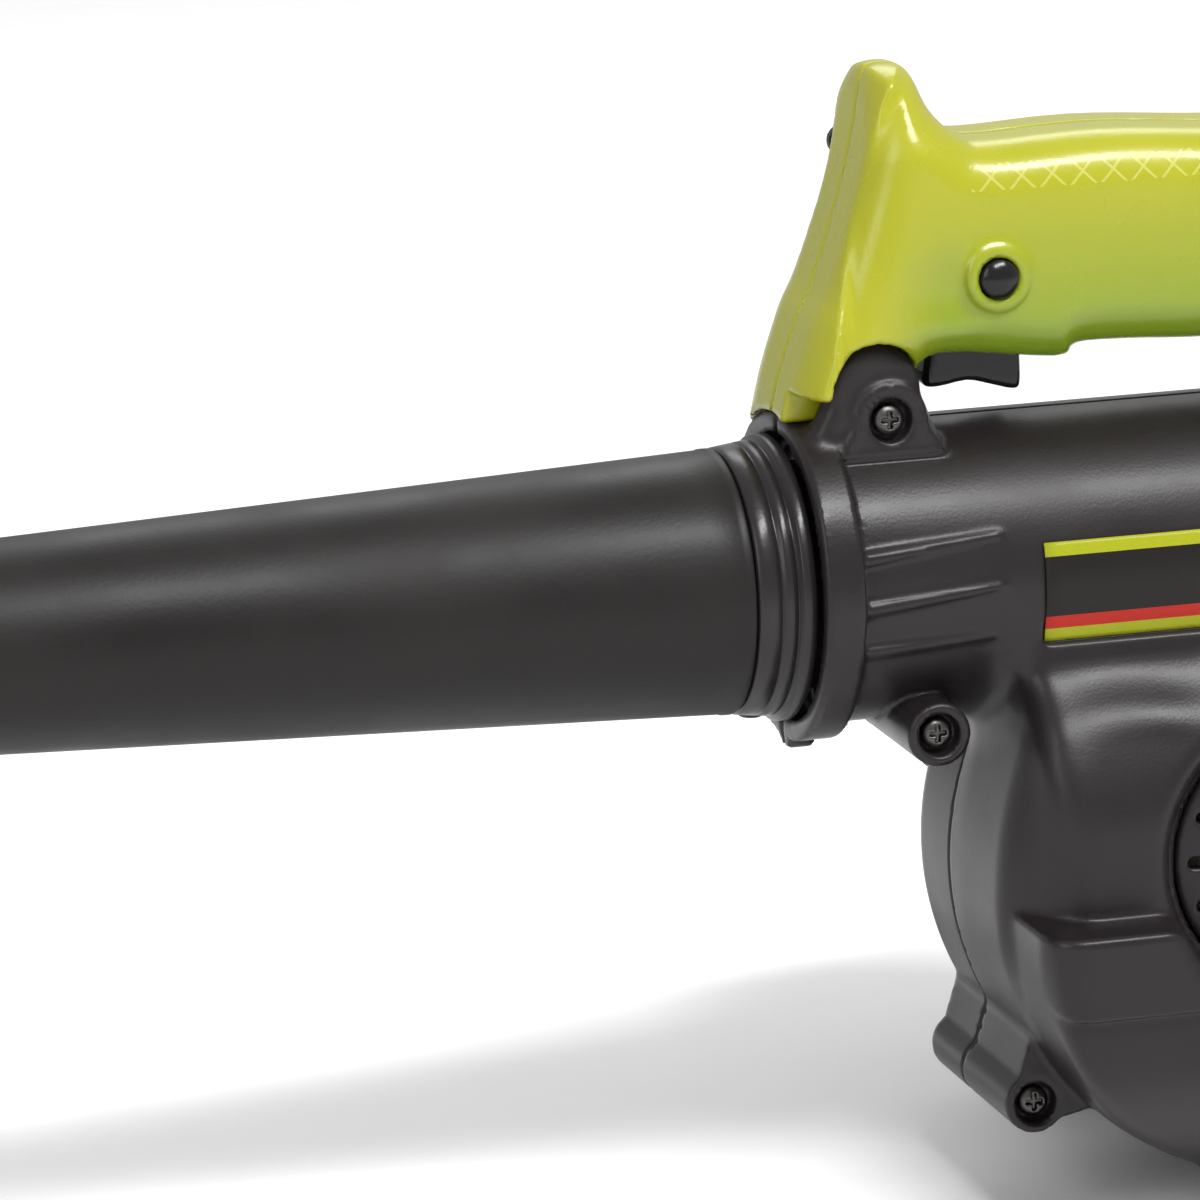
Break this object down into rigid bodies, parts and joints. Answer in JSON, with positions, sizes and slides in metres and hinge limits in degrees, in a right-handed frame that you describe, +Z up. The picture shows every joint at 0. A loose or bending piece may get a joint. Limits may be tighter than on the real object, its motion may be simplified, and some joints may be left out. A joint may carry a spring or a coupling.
{
  "type": "leaf blower",
  "caption": "Hand-held electric blower: scroll fan casing in halves, green loop handle, side motor, and a rubber nozzle on a bayonet collar.",
  "frame": {"origin": "point of the floor below the fan axis, in the casing's seam plane", "axes": "+Z up, the nozzle points along -X, the fan axis lies along Y with the intake on the -Y side"},
  "size_m": [0.4323, 0.1628, 0.2298],
  "materials": {
    "casing": "moulded, fine satin grain",
    "handle": "moulded, glossy yellow-green",
    "rubber": "satin black rubber",
    "black_gloss": "glossy black",
    "label": "printed film",
    "steel": "zinc plated",
    "lamination": "stacked laminations",
    "copper": "enamelled copper",
    "carbon": "pressed carbon",
    "nylon": "natural nylon"
  },
  "bodies": {
    "casing": {"volute_shell_left": "casing", "volute_shell_right": "casing", "inlet_grille": "casing", "outlet_sleeve": "casing", "label_plate": "label", "screw_saddle": "steel", "screw_front_boss": "steel", "screw_lower_boss": "steel", "screw_rear_lower_boss": "steel", "screw_rear_upper_boss": "steel", "handle_shell_left": "handle", "handle_shell_right": "handle", "screw_handle_horn": "steel", "screw_handle_front": "steel", "screw_handle_middle": "steel", "screw_handle_rear": "steel", "screw_handle_leg": "steel", "switch_body": "black_gloss", "trigger_spring": "steel", "suppressor_capacitor": "nylon", "cord_gland": "rubber", "cord_clamp": "nylon", "motor_housing": "casing", "screw_motor_1": "steel", "screw_motor_2": "steel", "screw_motor_3": "steel", "screw_motor_4": "steel", "motor_end_cap": "casing", "screw_cap_1": "steel", "screw_cap_2": "steel", "screw_cap_3": "steel", "stator_core": "lamination", "field_coil_upper": "copper", "field_coil_lower": "copper", "front_bearing_outer_ring": "steel", "rear_bearing_outer_ring": "steel", "brush_holder_left": "nylon", "carbon_brush_left": "carbon", "brush_spring_left": "steel", "brush_cap_left": "black_gloss", "brush_holder_right": "nylon", "carbon_brush_right": "carbon", "brush_spring_right": "steel", "brush_cap_right": "black_gloss"},
    "rotor": {"rotor_shaft": "steel", "impeller": "nylon", "impeller_washer": "steel", "impeller_nut": "steel", "cooling_fan": "nylon", "armature_core": "lamination", "armature_winding": "copper", "commutator": "copper", "front_bearing_inner_ring": "steel", "rear_bearing_inner_ring": "steel"},
    "collar": {"nozzle_collar": "black_gloss"},
    "nozzle": {"nozzle": "rubber"},
    "trigger": {"trigger": "black_gloss"},
    "lock_button": {"lock_button": "black_gloss"}
  },
  "joints": [
    {"name": "rotor_spin", "type": "hinge", "parent": "casing", "child": "rotor", "pos_m": [0, 0, 0.074], "axis": [0, 1, 0], "continuous": true},
    {"name": "collar_twist", "type": "hinge", "parent": "casing", "child": "collar", "pos_m": [-0.1, 0, 0.12953], "axis": [1, 0, 0], "range_deg": [0, 35]},
    {"name": "nozzle_pull", "type": "slide", "parent": "collar", "child": "nozzle", "axis": [-1, 0, 0], "range_m": [0, 0.03]},
    {"name": "trigger_squeeze", "type": "slide", "parent": "casing", "child": "trigger", "axis": [0, 0, 1], "range_m": [0, 0.005], "stiffness_N_per_m": 1200, "springref_m": -0.003, "deforming": ["trigger_spring"]},
    {"name": "lock_press", "type": "slide", "parent": "casing", "child": "lock_button", "axis": [0, 1, 0], "range_m": [0, 0.003], "stiffness_N_per_m": 600, "springref_m": -0.003}
  ]
}
